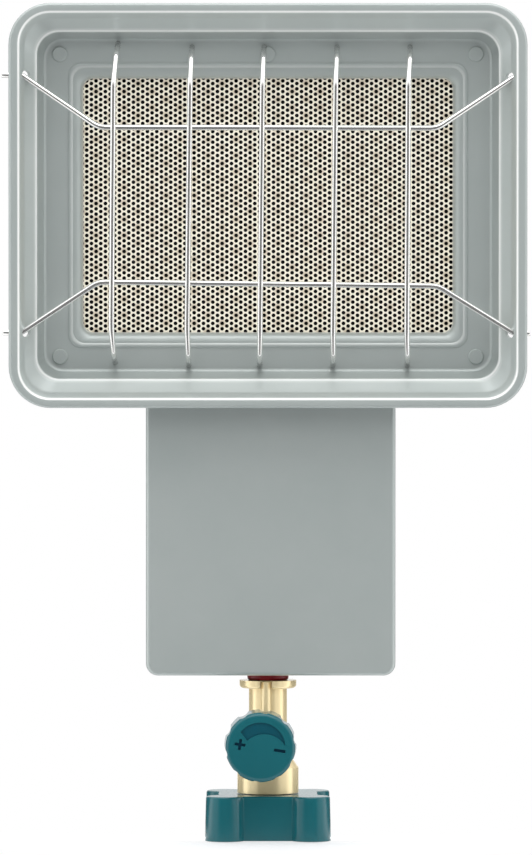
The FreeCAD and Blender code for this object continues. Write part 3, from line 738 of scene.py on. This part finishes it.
def scalloped(radius, a):
    # Distance to the knob's side at angle a, with the scallops taken off.
    step = 2 * math.pi / SCALLOPS
    off = (a - math.radians(SCALLOP_TURN) + step / 2) % step - step / 2
    reach = KNOB_R + SCALLOP_R - SCALLOP_D
    inside = SCALLOP_R ** 2 - (reach * math.sin(off)) ** 2
    if inside <= 0:
        return radius
    return min(radius, reach * math.cos(off) - math.sqrt(inside))


def knob_ring(radius, y, count=360):
    out = []
    for i in range(count):
        a = 2 * math.pi * i / count
        r = scalloped(radius, a)
        out.append((KNOB_X + r * math.cos(a), y, KNOB_Z + r * math.sin(a)))
    return out


def flat_tool(name, outline, depth, material):
    # A prism into the knob's face: outline points are x, z from the knob's axis.
    n = len(outline)
    ends = (-KNOB_OUT - MARK_START, -KNOB_OUT + depth)
    verts = [(KNOB_X + x, y, KNOB_Z + z) for y in ends for x, z in outline]
    faces = [tuple(range(n))[::-1], tuple(range(n, 2 * n))]
    faces += [(i, (i + 1) % n, n + (i + 1) % n, n + i) for i in range(n)]
    mesh = outward_mesh(name, verts, faces)
    mesh.materials.append(MATERIALS[material])
    return new_object(name, mesh)


def turned(points, cx, cz, a):
    # Points turned by angle a and moved to cx, cz.
    cos, sin = math.cos(a), math.sin(a)
    return [(cx + x * cos - z * sin, cz + x * sin + z * cos) for x, z in points]


def box_outline(cx, cz, w, h):
    w, h = w / 2, h / 2
    return turned(((-w, -h), (w, -h), (w, h), (-w, h)), cx, cz, math.radians(MARK_TURN))


def plus_outline(cx, cz, reach, half):
    out = []
    for k in range(4):
        a = math.radians(MARK_TURN) + math.pi / 2 * k
        out += turned(((half, -half), (reach, -half), (reach, half)), cx, cz, a)
    return out


def crescent():
    # Outer arc about the knob's axis, inner arc about a lower centre, blunt at the left.
    out = []
    first, last = math.atan2(*ARC_FROM[::-1]), math.atan2(*ARC_TO[::-1])
    for i in range(33):
        a = first + (last - first) * i / 32
        out.append((ARC_R * math.cos(a), ARC_R * math.sin(a)))
    cx, cz = ARC_INNER
    tip, blunt = ((x - cx, z - cz) for x, z in (ARC_TIP, ARC_BLUNT))
    first, last = math.atan2(*tip[::-1]), math.atan2(*blunt[::-1])
    r, r_end = math.hypot(*tip), math.hypot(*blunt)
    for i in range(27):
        a = first + (last - first) * i / 26
        k = r + (r_end - r) * i / 26
        out.append((cx + k * math.cos(a), cz + k * math.sin(a)))
    return out


def knob():
    depth = KNOB_OUT - KNOB_IN

    def side(y):
        return KNOB_R - KNOB_TAPER * (-y - KNOB_IN) / depth

    # From inside the hollow back, round its edge, along the side and over the front edge.
    wall = KNOB_R - KNOB_WALL
    start = -KNOB_IN - KNOB_BACK_EDGE
    rings = [
        knob_ring(wall, -KNOB_OUT + KNOB_WALL), knob_ring(wall, -KNOB_IN - 0.2),
        knob_ring(wall + 0.2, -KNOB_IN), knob_ring(KNOB_R - KNOB_BACK_EDGE, -KNOB_IN),
        knob_ring(side(start), start)]
    for k in range(1, 8):
        y = start - (depth - KNOB_BACK_EDGE - KNOB_EDGE) * k / 7
        rings.append(knob_ring(side(y), y))
    for s, c in quarter_steps(8)[1:]:
        y = -KNOB_OUT + KNOB_EDGE * (1 - s)
        rings.append(knob_ring(side(y) - KNOB_EDGE * (1 - c), y))
    piece = mesh_piece(
        "knob_marked", joined(rings), capped_skin(rings), "teal_plastic", "knob", "control_knob",
        25)
    # The marks' recesses take the darker teals, which paint the shade inside them.
    cut(piece, [
        flat_tool("plus", plus_outline(*PLUS), MARK_DEPTH, "teal_recess_painted_shade"),
        flat_tool("minus", box_outline(*MINUS), MARK_DEPTH, "teal_recess_painted_shade"),
        flat_tool("arc", crescent(), ARC_DEPTH, "teal_arc_painted_shade")], 25)


def arc_points(centre, start, end, radius, steps):
    # From angle start to just before angle end, the short way unless they are far apart.
    sweep = (end - start + math.pi) % (2 * math.pi) - math.pi
    if abs(end - start) > math.pi:
        sweep = end - start
    angles = [start + sweep * k / steps for k in range(steps)]
    return [centre + Vector((math.cos(a), math.sin(a))) * radius for a in angles]


def wheel_ring(out, z):
    # Square with a round lobe at each corner, moved outwards by out.
    flat, r, f = WHEEL_FLAT + out, LOBE_R + out, CREASE_R - out
    fx = LOBE_AT - math.sqrt((r + f) ** 2 - (flat + f - LOBE_AT) ** 2)
    fillet = Vector((fx, flat + f))
    lobe = Vector((LOBE_AT, LOBE_AT))
    to_lobe = math.atan2(lobe.y - fillet.y, lobe.x - fillet.x)
    first = math.atan2(fillet.y - lobe.y, fillet.x - lobe.x)
    last = math.pi / 2 - first
    corner = [Vector((-fx + 2 * fx * k / 8, flat)) for k in range(8)]
    corner += arc_points(fillet, -math.pi / 2, to_lobe, f, 5)
    corner += arc_points(lobe, first, last - (2 * math.pi if last > first else 0), r, 48)
    other = Vector((flat + f, fx))
    away = math.atan2(lobe.y - other.y, lobe.x - other.x)
    corner += arc_points(other, away, math.pi, f, 5)
    ring = []
    for i in range(4):
        ring += turned(corner, 0, 0, -math.pi / 2 * i)
    return [(x, y, z) for x, y in ring]


def round_ring(radius, z):
    # Ring with its points at the angles of the wheel's outline.
    out = []
    for x, y, _ in wheel_ring(0, 0):
        size = math.hypot(x, y)
        out.append((radius * x / size, radius * y / size, z))
    return out


def handwheel():
    rings = [
        wheel_ring(WHEEL_DRAFT - WHEEL_FOOT, 0),
        wheel_ring(WHEEL_DRAFT - 2 * WHEEL_SLACK, WHEEL_FOOT)]
    for k in range(1, 6):
        z = WHEEL_FOOT + (WHEEL_H - WHEEL_EDGE - WHEEL_FOOT) * k / 5
        rings.append(wheel_ring(WHEEL_DRAFT * (1 - z / WHEEL_H) - WHEEL_SLACK, z))
    for s, c in quarter_steps(7)[1:]:
        rings.append(
            wheel_ring(-WHEEL_EDGE * (1 - c) - WHEEL_SLACK, WHEEL_H - WHEEL_EDGE * (1 - s)))
    rings.append(wheel_ring(-WHEEL_TOP_IN, WHEEL_H))
    # Over the top, down the bore and out again under it.
    for radius, z in (
            (WHEEL_DISH_R, WHEEL_H), (WHEEL_BORE_R, WHEEL_H), (WHEEL_BORE_R, WHEEL_HOLLOW_TOP),
            (WHEEL_HOLLOW_R, WHEEL_HOLLOW_TOP), (WHEEL_HOLLOW_R, 0)):
        rings.append(round_ring(radius, z))
    piece = mesh_piece(
        "wheel_lobed", joined(rings), skin(rings, True), "teal_plastic", "wheel", "handwheel", 30)
    tools = []
    for x in (-LOBE_AT, LOBE_AT):
        for y in (-LOBE_AT, LOBE_AT):
            tools.append(tool_cylinder(LOBE_HOLE_R, (x, y, -1), (x, y, LOBE_HOLE_TOP), 48))
    cut(piece, tools, 30)


def camera():
    data = bpy.data.cameras.new("camera")
    cam = new_object("camera", data)
    plaque_y, pan_z = LIP_Y * MM, PAN_ZC * MM
    place = Vector((AIM_X, plaque_y - VIEW_DISTANCE, pan_z))
    aim = Vector((AIM_X, plaque_y, pan_z - AIM_DROP))
    cam.location = place
    cam.rotation_euler = (aim - place).to_track_quat("-Z", "Y").to_euler()
    data.sensor_fit = "VERTICAL"
    data.sensor_height = SENSOR
    data.lens = SENSOR * (aim - place).length / FRAME_HEIGHT
    data.clip_start = 0.1
    data.clip_end = 50
    data.dof.use_dof = False
    bpy.context.scene.camera = cam


def area_light(name, place, size_x, size_y, power, glossy=True):
    # A lamp that is aimed at the object.
    data = bpy.data.lights.new(name, "AREA")
    data.shape = "RECTANGLE"
    data.size = size_x
    data.size_y = size_y
    data.energy = power
    light = new_object(name, data)
    light.visible_glossy = glossy
    light.location = place
    aim = Vector((0, 0, 0.2))
    light.rotation_euler = (aim - Vector(place)).to_track_quat("-Z", "Y").to_euler()


def room_level(nodes, direction):
    # Room light by a direction's angle from the camera's side, as a share of ROOM_PEAK.
    sideways = nodes.calc("ABSOLUTE", direction["X"])
    frontal = nodes.calc("MULTIPLY", direction["Y"], -1.0)
    turn = nodes.calc("DIVIDE", nodes.calc("ARCTAN2", sideways, frontal), math.pi)
    return nodes.ramp(turn, [(place / 180, level / ROOM_PEAK) for place, level in ROOM])


def room():
    # Dim at the camera, bright at both sides, dim behind, bright above. The camera sees white.
    world = bpy.data.worlds.new("studio")
    bpy.context.scene.world = world
    world.use_nodes = True
    w = Nodes(world.node_tree)
    coords = w.add("ShaderNodeTexCoord")
    split = w.add("ShaderNodeSeparateXYZ")
    w.link(coords.outputs["Generated"], split.inputs["Vector"])
    around = room_level(w, split.outputs)
    above = w.ranged(split.outputs["Z"], 0, 1, ABOVE_FROM, ABOVE_TO, "SMOOTHSTEP")
    light = w.tree.nodes["Background"]
    light.inputs["Strength"].default_value = ROOM_PEAK
    w.link(w.mixed(above, around, (ROOM_ABOVE / ROOM_PEAK,) * 3 + (1,)), light.inputs["Color"])
    white = w.add("ShaderNodeBackground")
    white.inputs["Color"].default_value = WHITE
    ray = w.add("ShaderNodeLightPath")
    w.link(
        w.blend(ray.outputs["Is Camera Ray"], light, white),
        w.tree.nodes["World Output"].inputs["Surface"])


def floor():
    mesh = bpy.data.meshes.new("floor")
    s = FLOOR_HALF
    mesh.from_pydata([(-s, -s, 0), (s, -s, 0), (s, s, 0), (-s, s, 0)], [], [(0, 1, 2, 3)])
    ground = new_object("floor", mesh)
    ground.location.z = -FLOOR_DROP
    m = Surface("floor")
    m.colour(m.mixed(m.ranged(m.noise(6, 3), 0, 1), rgb(226, 227, 229), rgb(223, 224, 226)))
    m.set(Roughness=0.9, Emission_Color=WHITE, Emission_Strength=FLOOR_GLOW)
    # Beyond a hand's breadth from the wheel the floor goes over into plain white.
    distance = m.add("ShaderNodeVectorMath", operation="LENGTH")
    m.link(m.coords, distance.inputs[0])
    distance = distance.outputs["Value"]
    split = m.add("ShaderNodeSeparateXYZ")
    m.link(m.coords, split.inputs[0])
    sideways = m.ranged(distance, 0, 1, FADE_NEAR, FADE_FAR)
    backwards = m.ranged(split.outputs["Y"], 0, 1, FADE_FRONT, FADE_BACK)
    far = m.calc("MAXIMUM", sideways, backwards)
    path = m.add("ShaderNodeLightPath").outputs
    seen = m.calc("MAXIMUM", path["Is Camera Ray"], path["Is Glossy Ray"])
    # Reflections show it by direction, like the room, and white right under the heater.
    level = m.ranged(room_level(m, split.outputs), 0, ROOM_PEAK, 0, 1)
    near = m.ranged(distance, 1.0, 0.0, WHITE_NEAR, WHITE_FAR)
    lit = m.calc("MAXIMUM", near, level)
    plain = m.add("ShaderNodeEmission")
    plain.inputs["Color"].default_value = WHITE
    m.link(m.calc("MAXIMUM", path["Is Camera Ray"], lit), plain.inputs["Strength"])
    m.link(
        m.blend(m.calc("MULTIPLY", far, seen), m.bsdf, plain),
        m.tree.nodes["Material Output"].inputs["Surface"])
    mesh.materials.append(m.material)


dress_cad_nodes()
reflector()
guard()
plaque()
knob()
handwheel()
camera()
room()
area_light("top_softbox", (0.0, -0.5, 1.3), 1.0, 0.8, 3.0)
area_light("front_fill", (0.0, -1.8, 0.9), 1.2, 0.8, 8.0, glossy=False)
floor()
bpy.context.scene.view_settings.view_transform = "Standard"
